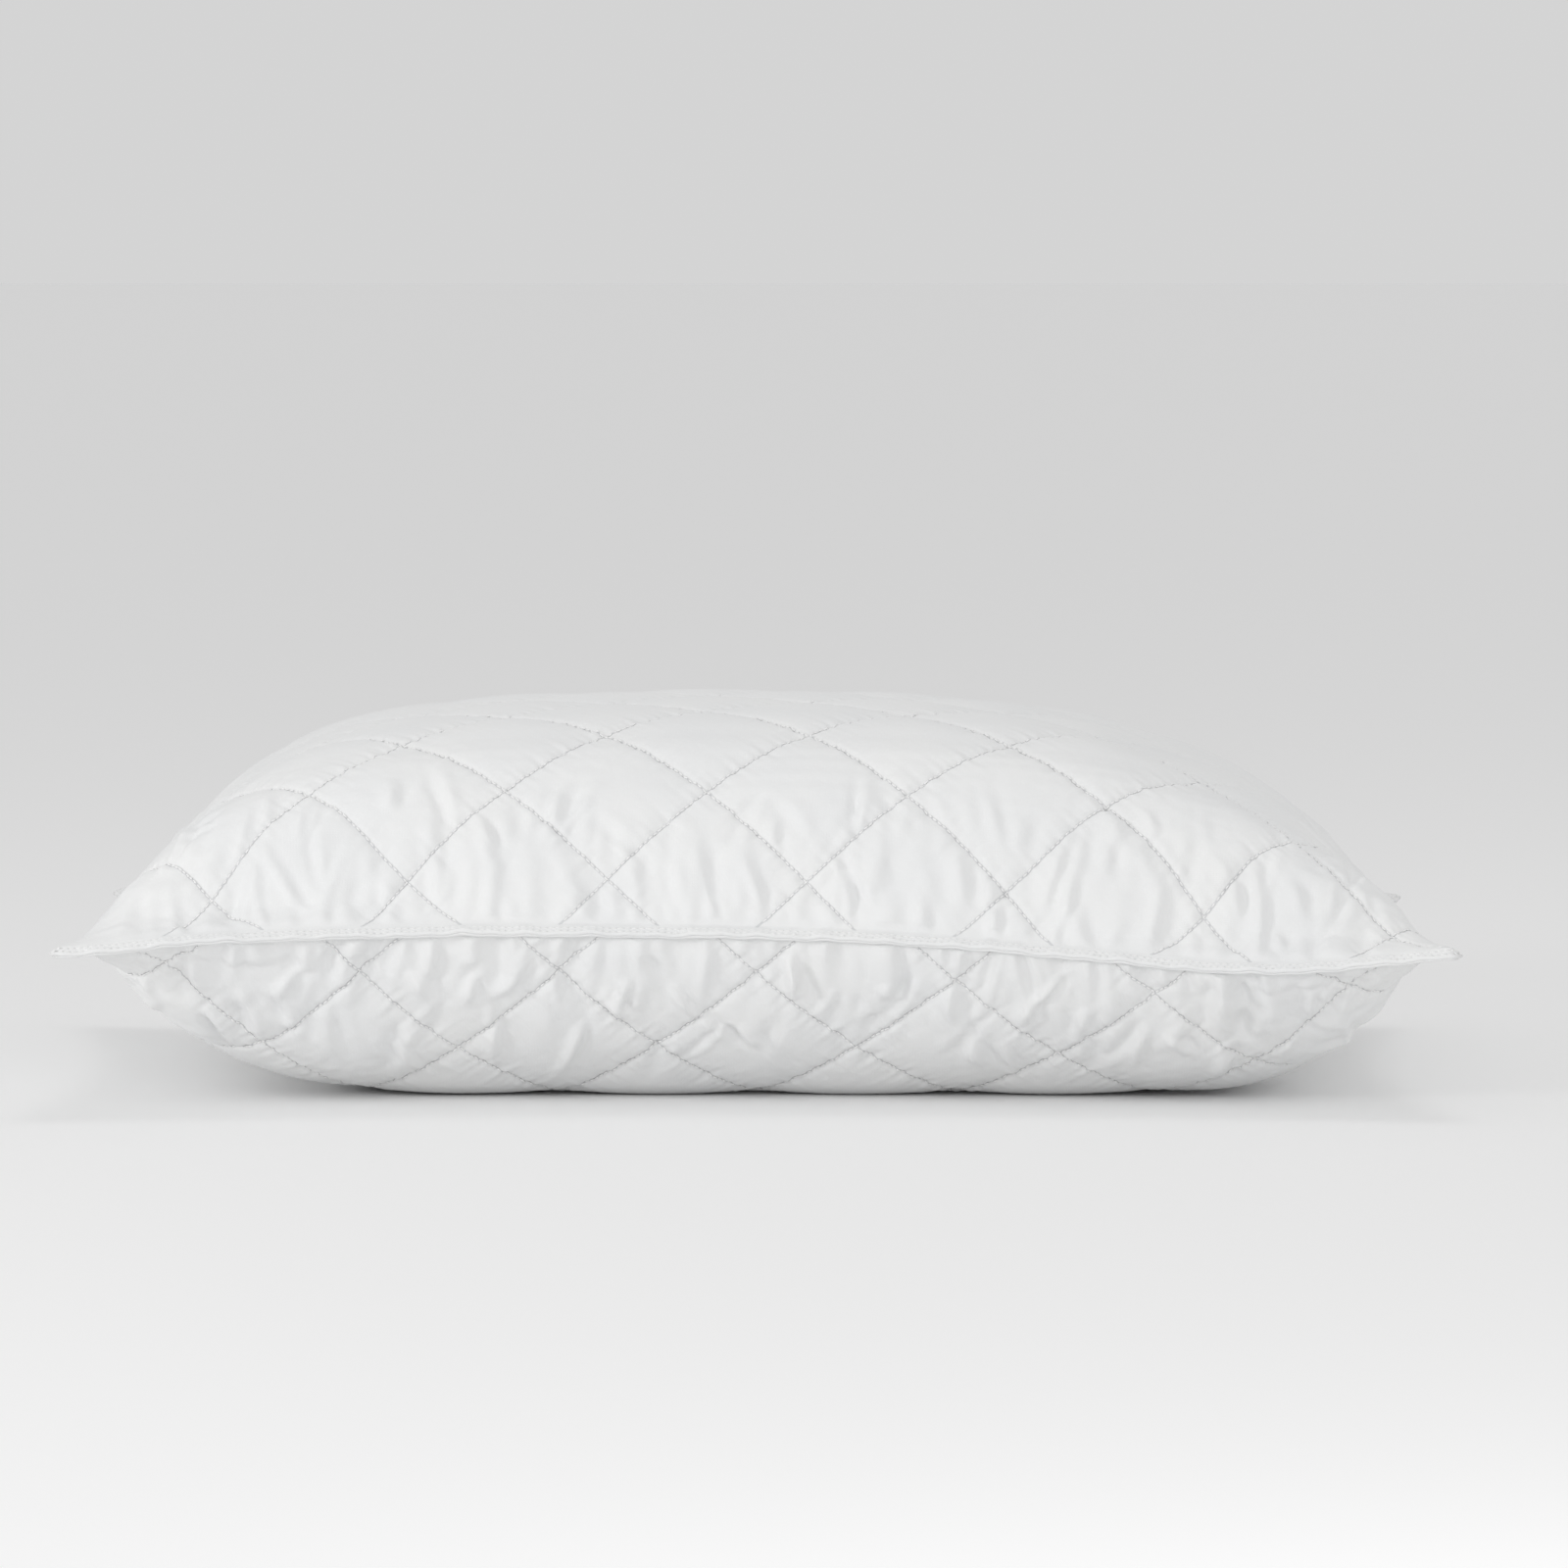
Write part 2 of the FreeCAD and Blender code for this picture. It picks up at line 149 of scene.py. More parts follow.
def filled_panel(up, rise, left, right, short):
    """Where each grid point lies on the filled pillow, before any fold forms."""
    on_left = share_along(left, half_length(0), rise, flat_x, CUT_LENGTH / 2)
    on_right = share_along(right, half_length(0), rise, flat_x, CUT_LENGTH / 2)
    over_x = np.where(flat_x < 0, on_left, on_right)[:, None]
    over_y = share_along(short, half_depth(0), rise, flat_y, CUT_DEPTH / 2)[None, :]
    share_x = gathered(over_x, (flat_x / (CUT_LENGTH / 2))[:, None], over_y)
    share_y = gathered(over_y, (flat_y / (CUT_DEPTH / 2))[None, :], over_x)
    ends = np.where(
        share_x < 0, smooth_curve(left, np.abs(share_x)), smooth_curve(right, np.abs(share_x))
    )
    crown = ends * smooth_curve(short, np.abs(share_y))
    return np.stack(
        [share_x * half_length(share_y), share_y * half_depth(share_x), SEAM_Z + up * rise * crown],
        axis=-1,
    )


PANEL_ROOM = 4.0 * MM
top = filled_panel(1, LOFT - SEAM_Z - PANEL_ROOM, TOP_LEFT, TOP_RIGHT, TOP_SHORT)
bottom = filled_panel(-1, SEAM_Z - 1.5 * MM, BOTTOM_LEFT, BOTTOM_RIGHT, BOTTOM_SHORT)
print("filled: crown at", round(top[..., 2].max() / MM, 1), "mm")

# %% [markdown]
# The seam of a filled pillow is shorter than the cut cloth, so the cloth beside it is slack. Cloth
# simulation starts on the filled shape, but its springs want the lengths of the flat panels, and
# light pressure from inside keeps it full. The seam and the tight crown are pinned, and the slack
# between them settles into broad, shallow bulges. Narrow folds don't form at this coarseness, so
# a later step adds them.

# %% Simulate the cloth
SEAM_HOLD = 1.0
FREE_BAND = 95 * MM
HOLD_BAND = 70 * MM
FRAMES = 30


def grid_faces(index, flip):
    """Quads over a grid of point numbers."""
    corners = [index[:-1, :-1], index[1:, :-1], index[1:, 1:], index[:-1, 1:]]
    if flip:
        corners.reverse()
    return np.stack(corners, axis=-1).reshape(-1, 4)


def from_seam(x, y):
    """Distance from the nearest seam on the flat cloth."""
    return np.minimum(CUT_LENGTH / 2 - np.abs(x), CUT_DEPTH / 2 - np.abs(y))


def ease(share):
    """0 to 1 with a soft start and end."""
    return share * share * (3 - 2 * share)


def new_piece(name, points, faces, cut=None):
    """A smooth mesh object. cut is each point's flat position, which goes into its UV map."""
    mesh = bpy.data.meshes.new(name)
    mesh.from_pydata(points.tolist(), [], faces)
    mesh.polygons.foreach_set("use_smooth", [True] * len(mesh.polygons))
    if cut is not None:
        corners = np.empty(len(mesh.loops), dtype=int)
        mesh.loops.foreach_get("vertex_index", corners)
        mesh.uv_layers.new(name="flat_cloth").data.foreach_set("uv", cut[corners].ravel())
    piece = bpy.data.objects.new(name, mesh)
    bpy.context.scene.collection.objects.link(piece)
    return piece


def sealed_bag():
    """One closed mesh of both panels, which share their edge points."""
    count = (CELLS_X + 1) * (CELLS_Y + 1)
    above = np.arange(count).reshape(CELLS_X + 1, CELLS_Y + 1)
    below = above.copy()
    inner = (CELLS_X - 1) * (CELLS_Y - 1)
    below[1:-1, 1:-1] = count + np.arange(inner).reshape(CELLS_X - 1, CELLS_Y - 1)
    points = np.vstack([top.reshape(-1, 3), bottom[1:-1, 1:-1].reshape(-1, 3)])
    flat = np.stack(np.meshgrid(flat_x, flat_y, indexing="ij"), axis=-1)
    cut = np.vstack([flat.reshape(-1, 2), flat[1:-1, 1:-1].reshape(-1, 2)])
    faces = np.vstack([grid_faces(above, False), grid_faces(below, True)])
    return above, below, points, cut, faces


def hold_weights(cut):
    """1 at the seam and over the crown, 0 between, by distance from the seam on the flat cloth."""
    inward = from_seam(cut[:, 0], cut[:, 1])
    weights = ease(np.clip((inward - FREE_BAND) / HOLD_BAND, 0, 1))
    weights[inward < CELL / 2] = SEAM_HOLD
    return weights


def simulate():
    above, below, points, cut, faces = sealed_bag()
    bag = new_piece("cloth_bag", points, faces.tolist())
    bag.shape_key_add(name="filled")
    rest = bag.shape_key_add(name="cut")
    rest.data.foreach_set("co", np.hstack([cut, np.zeros((len(cut), 1))]).ravel())
    group = bag.vertex_groups.new(name="hold")
    weights = hold_weights(cut)
    for level in np.unique(np.round(weights, 2)):
        chosen = np.nonzero(np.round(weights, 2) == level)[0]
        if level > 0:
            group.add(chosen.tolist(), float(level), "REPLACE")
    cloth = bag.modifiers.new("cloth", "CLOTH")
    settings = cloth.settings
    settings.quality = 6
    settings.mass = 0.1
    settings.air_damping = 5.0
    settings.tension_stiffness = settings.compression_stiffness = 25
    settings.shear_stiffness = 8
    settings.bending_stiffness = 2.0
    settings.tension_damping = settings.compression_damping = settings.shear_damping = 10
    settings.bending_damping = 1.0
    settings.vertex_group_mass = "hold"
    settings.pin_stiffness = 20
    settings.use_pressure = True
    settings.uniform_pressure_force = 3.0
    settings.rest_shape_key = rest
    settings.effector_weights.gravity = 0
    cloth.collision_settings.use_collision = False
    cloth.collision_settings.use_self_collision = False
    cloth.point_cache.frame_start = 1
    cloth.point_cache.frame_end = FRAMES
    for number in range(1, FRAMES + 1):
        bpy.context.scene.frame_set(number)
    ready = bag.evaluated_get(bpy.context.evaluated_depsgraph_get())
    result = np.empty(len(points) * 3)
    ready.data.vertices.foreach_get("co", result)
    bpy.data.objects.remove(bag)
    bpy.context.scene.frame_set(1)
    result = result.reshape(-1, 3)
    return result[above], result[below]


filled_top, filled_bottom = top, bottom
top, bottom = simulate()
for name, before, after in (("top", filled_top, top), ("bottom", filled_bottom, bottom)):
    moved = np.linalg.norm(after - before, axis=-1) / MM
    print("simulated:", name, "moved", round(moved.mean(), 1), "mm, at most", round(moved.max(), 1))

# %% [markdown]
# The simulated bag's seam is level, and a real pillow's never is. Its seam rides higher where more
# fibre has gathered, and it droops elsewhere. So the whole bag is bent a little: points at the seam
# move most, and the crown and the resting side stay where they are.

# %% Let the seam rise and droop
FRONT_LIFT = [(-1, 1), (-0.8, 6), (-0.45, 9), (-0.1, 8), (0.2, 5), (0.46, -2), (0.74, -8), (1, 1)]
BACK_LIFT = [(-1, -8), (-0.6, 1), (0.0, 3), (0.5, -2), (1, -11)]


def bend(points):
    along = np.clip(points[..., 0] / HALF_LENGTH, -1, 1)
    across = np.clip(points[..., 1] / HALF_DEPTH, -1, 1)
    front = ease((1 - across) / 2)
    lift = front * smooth_curve(FRONT_LIFT, along) + (1 - front) * smooth_curve(BACK_LIFT, along)
    lift = lift * MM
    z = points[..., 2]
    under = z * (SEAM_Z + lift) / SEAM_Z
    over = LOFT - (LOFT - z) * (LOFT - SEAM_Z - lift) / (LOFT - SEAM_Z)
    bent = points.copy()
    bent[..., 2] = np.where(z < SEAM_Z, under, over)
    return bent


top, bottom = bend(top), bend(bottom)
front_seam = top[:, 0, 2] / MM
print("bent: front seam from", round(front_seam.min(), 1), "to", round(front_seam.max(), 1), "mm up")

# %% [markdown]
# The simulation's grid is too coarse for quilting. Each side of a square is divided in four along
# a smooth curve through its neighbours, which a matrix does for a whole row of points at once.

# %% Make a finer surface
FINER = 4


def refine_matrix(cells):
    """Weights of a Catmull-Rom curve through evenly spaced points, FINER steps to each span."""
    weights = np.zeros((cells * FINER + 1, cells + 3))
    for row in range(cells * FINER + 1):
        span = min(row // FINER, cells - 1)
        t = row / FINER - span
        weights[row, span : span + 4] += [
            (-t + 2 * t**2 - t**3) / 2,
            (2 - 5 * t**2 + 3 * t**3) / 2,
            (t + 4 * t**2 - 3 * t**3) / 2,
            (-(t**2) + t**3) / 2,
        ]
    ends = np.zeros((cells + 3, cells + 1))
    ends[1:-1] = np.eye(cells + 1)
    ends[0, :2] = 2, -1
    ends[-1, -2:] = -1, 2
    return weights @ ends


def refine(points):
    along, across = refine_matrix(CELLS_X), refine_matrix(CELLS_Y)
    return np.einsum("ia,abk,jb->ijk", along, points, across, optimize=True)


fine_x = np.linspace(flat_x[0], flat_x[-1], CELLS_X * FINER + 1)
fine_y = np.linspace(flat_y[0], flat_y[-1], CELLS_Y * FINER + 1)
FLAT_X, FLAT_Y = np.meshgrid(fine_x, fine_y, indexing="ij")


def normals_of(points, up):
    along, across = np.gradient(points, axis=(0, 1))
    normal = np.cross(along, across) * up
    return normal / np.linalg.norm(normal, axis=-1, keepdims=True)


# %% [markdown]
# Quilting is two families of straight lines across the cut panel, sewn through cloth, wadding and
# backing. Between the lines the wadding puffs the cloth up. Along a line it is pulled into a
# groove, and because the machine gathers it slightly, small puckers cross the line and die out a
# few millimetres away.

# %% Raise the quilting
STACK = 1.0 * MM
PUFF = 2.4 * MM
PUFF_REACH = 11 * MM
GROOVE = 1.0 * MM
GROOVE_WIDTH = 1.6 * MM
PUCKER = 0.5 * MM
PUCKER_REACH = 7 * MM
PUCKER_WAVES = (5.3 * MM, 7.9 * MM, 11.7 * MM, 19.0 * MM)
QUILT_EDGE = 14 * MM
MOST_LINES = 64
TOP_LINES = (0.0, DIAMOND / 2)
BOTTOM_LINES = (-DIAMOND / 4, DIAMOND / 4)


def line_distances(x, y, lines):
    """For each family: distance to its nearest line, that line's number, and how far along it."""
    found = []
    for across, along, start in ((x + y, x - y, lines[0]), (x - y, x + y, lines[1])):
        number = np.round((across - start) / DIAMOND)
        found.append(
            (np.abs(across - start - number * DIAMOND) / math.sqrt(2), number, along / math.sqrt(2))
        )
    return found


def ripples(along, number, waves, seed):
    """Uneven ripples along a line. Each line has its own."""
    draw = np.random.default_rng(seed)
    shift = draw.uniform(0, 2 * math.pi, (len(waves), MOST_LINES))
    index = number.astype(int) % MOST_LINES
    total = 0
    for wave, shifts in zip(waves, shift):
        total = total + np.sin(2 * math.pi * along / wave + shifts[index])
    return total / math.sqrt(len(waves))


def relief(x, y, lines, seed):
    (near_1, number_1, along_1), (near_2, number_2, along_2) = line_distances(x, y, lines)
    edge = np.clip(from_seam(x, y) / QUILT_EDGE, 0, 1)
    puff = (1 - np.exp(-near_1 / PUFF_REACH)) * (1 - np.exp(-near_2 / PUFF_REACH))
    height = PUFF * puff * edge
    for near, number, along, turn in (
        (near_1, number_1, along_1, 0),
        (near_2, number_2, along_2, 1),
    ):
        height = height - GROOVE * np.exp(-((near / GROOVE_WIDTH) ** 2)) * edge
        wave = ripples(along, number, PUCKER_WAVES, seed + turn)
        height = height + PUCKER * wave * np.exp(-near / PUCKER_REACH) * edge
    return height


flat_relief = relief(FLAT_X, FLAT_Y, TOP_LINES, 0)
print("quilting: lowest to highest", round(np.ptp(flat_relief) / MM, 1), "mm")

# %% [markdown]
# The seam is gathered, so the loose face cloth stands beside it in narrow folds that run away from
# the seam and die out towards the crown. A second set starts further in, inside the diamonds. Each
# fold is a soft ridge with a hollow at its side, or the reverse, at a place, lean, length and width
# drawn by chance. A quilting line holds most of its height down.

# %% Gather folds along the seam
SEAM_FOLDS = {
    "spacing": 9.5, "jitter": 3.5, "start": None, "long": (22, 88), "wide": (2.6, 5.5),
    "tall": (0.6, 3.0), "lean": 0.16, "curl": 5,
}  # millimetres, and lean in millimetres sideways for each one inwards
CELL_FOLDS = {
    "spacing": 7.0, "jitter": 5, "start": (4, 62), "long": (18, 58), "wide": (2.4, 4.6),
    "tall": (0.7, 2.7), "lean": 0.3, "curl": 6,
}
HOLLOW_OR_RIDGE = (0.35, 0.65)
SIDE_HOLLOW = 0.6
SIDE_STEP = 1.6
SEAM_START = 3.5 * MM
CELL_PEAK = 0.7
FOLD_FAN = 0.5
END_SHARE = 0.45
CORNER_REACH = 65 * MM
CORNER_SHARE = 0.1
LINE_HOLD = 4 * MM
LINE_SHARE = 0.25


def fold(along, inward, place, start, long, wide, tall, lean, curl):
    """One fold: a soft ridge with a hollow at its side, wider and fainter away from the seam."""
    share = np.clip((inward - start) / long, 0, 1)
    middle = place + lean * (inward - start) + curl * share**2
    across = (along - middle) / (wide * (1 + FOLD_FAN * share))
    if start > 0:
        fade = np.sin(math.pi * share**CELL_PEAK) ** 2
    else:
        fade = (0.5 + 0.5 * np.cos(math.pi * share)) * (1 - np.exp(-inward / SEAM_START))
    side = np.exp(-((across - SIDE_STEP) ** 2))
    return tall * fade * (np.exp(-(across**2)) - SIDE_HOLLOW * side)


def gather_folds(lines, seed):
    """Height of the folds over the flat panel."""
    draw = np.random.default_rng(seed)
    height = np.zeros_like(FLAT_X)
    sides = (
        (FLAT_X, CUT_DEPTH / 2 + FLAT_Y, CUT_LENGTH, 1),
        (FLAT_X, CUT_DEPTH / 2 - FLAT_Y, CUT_LENGTH, 1),
        (FLAT_Y, CUT_LENGTH / 2 + FLAT_X, CUT_DEPTH, END_SHARE),
        (FLAT_Y, CUT_LENGTH / 2 - FLAT_X, CUT_DEPTH, END_SHARE),
    )
    for along, inward, extent, share in sides:
        side = np.zeros_like(FLAT_X)
        for kind in (SEAM_FOLDS, CELL_FOLDS):
            for place in np.arange(-extent / 2, extent / 2, kind["spacing"] * MM):
                side += fold(
                    along, inward, place + draw.normal(0, kind["jitter"] * MM),
                    start=draw.uniform(*kind["start"]) * MM if kind["start"] else 0.0,
                    long=draw.uniform(*kind["long"]) * MM,
                    wide=draw.uniform(*kind["wide"]) * MM,
                    tall=draw.uniform(*kind["tall"]) * MM * draw.choice([-1, 1], p=HOLLOW_OR_RIDGE),
                    lean=draw.normal(0, kind["lean"]),
                    curl=draw.normal(0, kind["curl"]) * MM,
                )
        # Near a corner the cloth is pinched already, and two sides' folds would cross.
        clear = np.clip((extent / 2 - np.abs(along)) / CORNER_REACH, CORNER_SHARE, 1)
        height += side * share * clear
    (near_1, _, _), (near_2, _, _) = line_distances(FLAT_X, FLAT_Y, lines)
    held = (1 - np.exp(-near_1 / LINE_HOLD)) * (1 - np.exp(-near_2 / LINE_HOLD))
    return height * (LINE_SHARE + (1 - LINE_SHARE) * held)


# %% [markdown]
# Quilting and folds are added to each panel along its normals. The bottom panel rises less, so more
# of its cloth is loose, and where it would pass through the floor it is pressed flat.

# %% Raise the outer faces
SEAM_TURN = 6 * MM


def quilted(points, up, lines, seed, slack):
    """The panel's outer face. At the seam it lifts straight up, so that it meets the flange."""
    surface = refine(points)
    normal = normals_of(surface, up)
    turn = np.clip(from_seam(FLAT_X, FLAT_Y) / SEAM_TURN, 0, 1)[..., None]
    direction = normal * turn + np.array([0, 0, up]) * (1 - turn)
    direction /= np.linalg.norm(direction, axis=-1, keepdims=True)
    raised = relief(FLAT_X, FLAT_Y, lines, seed) + slack * gather_folds(lines, seed + 2)
    return surface + direction * (STACK + raised)[..., None]


FLOOR_GAP = 0.2 * MM
BOTTOM_SLACK = 1.35
top_face = quilted(top, 1, TOP_LINES, 11, 1)
bottom_face = quilted(bottom, -1, BOTTOM_LINES, 23, BOTTOM_SLACK)
bottom_face[..., 2] = np.maximum(bottom_face[..., 2], FLOOR_GAP)
top_normal = normals_of(top_face, 1)
bottom_normal = normals_of(bottom_face, -1)
print("finer grid:", top_face.shape[:2], "crown at", round(top_face[..., 2].max() / MM, 1), "mm")

# %% [markdown]
# After the two panels are joined, the edge is turned out and topstitched twice. That leaves a flat
# border about 5 mm wide, a self flange. Each panel gives one half of it: out over the flange, down
# into the two stitched grooves, round the edge and back in. It is added as rings of points round
# the panel, each ring a step outwards.

# %% Add the flange to each panel
FLANGE_SECTION = [
    (0.6, 1.25), (1.3, 0.95), (2.0, 1.8), (2.8, 1.95), (3.4, 1.3), (4.1, 2.1), (4.8, 1.9),
    (5.2, 1.3), (5.3, 0.6), (5.1, 0.08),
]  # millimetres out from the seam, and up from the middle of the flange
STITCH_ROWS = (1.3, 3.4)
FLANGE_TILT = math.radians(46)
TILT_SHARE = 0.22
TILT_WAVES = (17 * MM, 31 * MM, 67 * MM, 143 * MM)


def round_the_edge(cells_x, cells_y):
    """Grid positions once round the edge, anticlockwise from the front left corner."""
    front = [(i, 0) for i in range(cells_x)]
    right = [(cells_x, j) for j in range(cells_y)]
    back = [(i, cells_y) for i in range(cells_x, 0, -1)]
    left = [(0, j) for j in range(cells_y, 0, -1)]
    return np.array(front + right + back + left).T


FINE_RING = round_the_edge(CELLS_X * FINER, CELLS_Y * FINER)
COARSE_RING = round_the_edge(CELLS_X, CELLS_Y)
seam_line = refine(top)[FINE_RING[0], FINE_RING[1]]


def outward_steps(line):
    """Level directions out of a closed line, long enough at a corner to keep the border's width."""
    step = np.roll(line, -1, axis=0) - line
    ahead = np.stack([step[:, 1], -step[:, 0]], axis=-1)
    ahead /= np.linalg.norm(ahead, axis=-1, keepdims=True)
    behind = np.roll(ahead, 1, axis=0)
    share = 1 + (ahead * behind).sum(axis=-1, keepdims=True)
    out = (ahead + behind) / share
    return np.hstack([out, np.zeros((len(out), 1))])


outward = outward_steps(seam_line)


# The flange hangs down from the seam by a slope that wanders along it.
ring_along = np.arange(len(seam_line)) * CELL / FINER
wander = ripples(ring_along, np.zeros(len(seam_line)), TILT_WAVES, 5)
tilt = FLANGE_TILT * (1 + TILT_SHARE * wander)
slopes = np.round(np.degrees([tilt.min(), tilt.max()]))
print("flange slopes down by", *slopes, "degrees")


def on_flange(out, rise, up):
    """The line that runs round the flange, this far out and above or below its middle."""
    turn = tilt if up > 0 else tilt * min(out / STITCH_ROWS[0], 1)
    sideways = (out * np.cos(turn) + up * rise * np.sin(turn)) * MM
    ring = seam_line + outward * sideways[:, None]
    ring[:, 2] += (up * rise * np.cos(turn) - out * np.sin(turn)) * MM
    return ring


def flange_rings(up):
    flat = np.stack([FLAT_X, FLAT_Y], axis=-1)[FINE_RING[0], FINE_RING[1]]
    places, cuts = [], []
    for out, rise in FLANGE_SECTION:
        places.append(on_flange(out, rise, up))
        cuts.append(flat + outward[:, :2] * (out * MM))
    return places, cuts


# %% [markdown]
# Each panel is one closed piece: the outer face, the flange, and an inner face behind them that the
# fill presses on. The inner face can stay coarse, since nobody sees it. Where the fine edge meets
# the coarse one, one wide face joins four short edges to one long one.

# %% Build the two panels
INNER_DEPTH = 2.5 * MM
RIM_GAP = 0.1 * MM


def ring_faces(first, second):
    after_first, after_second = np.roll(first, -1), np.roll(second, -1)
    return np.stack([first, second, after_second, after_first], axis=-1).tolist()


def panel_object(name, face, coarse, up):
    fine_count = face.shape[0] * face.shape[1]
    fine_index = np.arange(fine_count).reshape(face.shape[:2])
    places, cuts = flange_rings(up)
    ring_size = len(seam_line)
    points = [face.reshape(-1, 3)] + places
    flat = [np.stack([FLAT_X, FLAT_Y], axis=-1).reshape(-1, 2)] + cuts
    inner = coarse - normals_of(coarse, up) * INNER_DEPTH
    edge = COARSE_RING
    inner[edge[0], edge[1]] = coarse[edge[0], edge[1]] + np.array([0, 0, up * RIM_GAP])
    points.append(inner.reshape(-1, 3))
    coarse_flat = np.stack(np.meshgrid(flat_x, flat_y, indexing="ij"), axis=-1).reshape(-1, 2)
    flat.append(coarse_flat)

    faces = grid_faces(fine_index, up < 0).tolist()
    last = fine_index[FINE_RING[0], FINE_RING[1]]
    for number in range(len(places)):
        ring = fine_count + number * ring_size + np.arange(ring_size)
        faces += ring_faces(last, ring) if up > 0 else ring_faces(ring, last)
        last = ring
    inner_start = fine_count + len(places) * ring_size
    inner_index = inner_start + np.arange(coarse.shape[0] * coarse.shape[1])
    inner_index = inner_index.reshape(coarse.shape[:2])
    faces += grid_faces(inner_index, up > 0).tolist()
    rim = inner_index[edge[0], edge[1]]
    for k in range(len(rim)):
        fine = [int(last[(k * FINER + step) % ring_size]) for step in range(FINER + 1)]
        wide = [int(rim[k])] + [int(rim[(k + 1) % len(rim)])] + fine[::-1]
        faces.append(wide if up > 0 else wide[::-1])

    piece = new_piece(name, np.vstack(points), faces, np.vstack(flat))
    print(name, "has", len(faces), "faces")
    return piece


top_panel = panel_object("quilted_top_panel", top_face, top, 1)
bottom_panel = panel_object("quilted_bottom_panel", bottom_face, bottom, -1)

# %% [markdown]
# The fibre inside is a soft block that fills the bag. It follows both panels a few millimetres
# behind them, on a coarse grid of its own, and draws in where they meet at the seam.

# %% Fill the bag
FILL_SPACING = 5
FILL_DEPTH = 6 * MM
FILL_EDGE = 12 * MM


def fibre_block():
    inside = []
    for coarse, up in ((top, 1), (bottom, -1)):
        inside.append((coarse - normals_of(coarse, up) * FILL_DEPTH)[::FILL_SPACING, ::FILL_SPACING])
    count_x, count_y = inside[0].shape[:2]
    ring = round_the_edge(count_x - 1, count_y - 1)
    step = FILL_SPACING * FINER
    edge = top[::FILL_SPACING, ::FILL_SPACING][ring[0], ring[1]] - outward[::step] * FILL_EDGE
    inside[0][ring[0], ring[1]] = edge
    index = np.arange(count_x * count_y).reshape(count_x, count_y)
    under = index.copy()
    under[1:-1, 1:-1] = index.size + np.arange((count_x - 2) * (count_y - 2)).reshape(
        count_x - 2, count_y - 2
    )
    points = np.vstack([inside[0].reshape(-1, 3), inside[1][1:-1, 1:-1].reshape(-1, 3)])
    faces = np.vstack([grid_faces(index, False), grid_faces(under, True)])
    print("fibre block has", len(faces), "faces")
    return new_piece("fibre_block", points, faces.tolist())


fibre = fibre_block()

# %% [markdown]
# A lockstitch shows as a short, plump bridge of thread between two needle holes. One stitch is
# modelled as a small stretched ball, and all the others are copies of it.

# %% Model one stitch
STITCH_PITCH = 3.3 * MM
STITCH_LENGTH = 2.9 * MM
STITCH_WIDTH = 0.95 * MM
STITCH_HEIGHT = 0.9 * MM


def model_stitch():
    bpy.ops.object.select_all(action="DESELECT")
    bpy.ops.mesh.primitive_uv_sphere_add(segments=6, ring_count=4, radius=0.5)
    ball = bpy.context.object
    mesh = ball.data
    points = np.empty(len(mesh.vertices) * 3)
    mesh.vertices.foreach_get("co", points)
    points = points.reshape(-1, 3)[:, [2, 0, 1]]
    faces = [list(face.vertices) for face in mesh.polygons]
    bpy.data.objects.remove(ball)
    return points * [STITCH_LENGTH, STITCH_WIDTH, STITCH_HEIGHT], faces


stitch_points, stitch_faces = model_stitch()
print("one stitch has", len(stitch_faces), "faces")

# %% [markdown]
# The copies are laid end to end along every quilting line. Each is turned to follow the cloth, so
# we look up where a flat position has come to.

# %% Lay the quilting stitches
STITCH_LIFT = 0.34 * MM
LINE_END = 2 * MM
INSIDE_LAST = 1.001  # grid steps, so that a position on the last line still has a next one


def surface_at(surface, x, y):
    """Read a grid between its points, at flat positions."""
    i = np.clip((x - fine_x[0]) / (CELL / FINER), 0, len(fine_x) - INSIDE_LAST)
    j = np.clip((y - fine_y[0]) / (CELL / FINER), 0, len(fine_y) - INSIDE_LAST)
    i0, j0 = i.astype(int), j.astype(int)
    u, v = (i - i0)[:, None], (j - j0)[:, None]
    return (
        surface[i0, j0] * (1 - u) * (1 - v) + surface[i0 + 1, j0] * u * (1 - v)
        + surface[i0, j0 + 1] * (1 - u) * v + surface[i0 + 1, j0 + 1] * u * v
    )


def unit(rows):
    return rows / np.linalg.norm(rows, axis=-1, keepdims=True)


def stitches_object(name, centre, along, normal):
    """One mesh of many stitches, each laid along its own direction on its own normal."""
    along = unit(along - normal * (along * normal).sum(axis=-1, keepdims=True))
    across = np.cross(normal, along)
    turned = (
        stitch_points[None, :, 0:1] * along[:, None]
        + stitch_points[None, :, 1:2] * across[:, None]
        + stitch_points[None, :, 2:3] * normal[:, None]
        + centre[:, None]
    )
    count = len(stitch_points)
    faces = [[v + k * count for v in face] for k in range(len(centre)) for face in stitch_faces]
    print(name, "has", len(centre), "stitches")
    return new_piece(name, turned.reshape(-1, 3), faces)


def quilting_places(lines):
    """Flat positions of every quilting stitch, and the flat direction each one runs in."""
    places, headings = [], []
    reach_x, reach_y = CUT_LENGTH / 2 - LINE_END, CUT_DEPTH / 2 - LINE_END
    for start, slope in ((lines[0], -1), (lines[1], 1)):
        last = math.floor((reach_x + reach_y - start) / DIAMOND)
        first = math.ceil((-reach_x - reach_y - start) / DIAMOND)
        for number in range(first, last + 1):
            crossing = start + number * DIAMOND
            near, far = max(-reach_x, crossing - reach_y), min(reach_x, crossing + reach_y)
            step = STITCH_PITCH / math.sqrt(2)
            x = np.arange(near + chance.uniform(0, step), far, step)
            places.append(np.stack([x, slope * (x - crossing)], axis=-1))
            headings.append(np.tile([1, slope], (len(x), 1)) / math.sqrt(2))
    return np.vstack(places), np.vstack(headings)


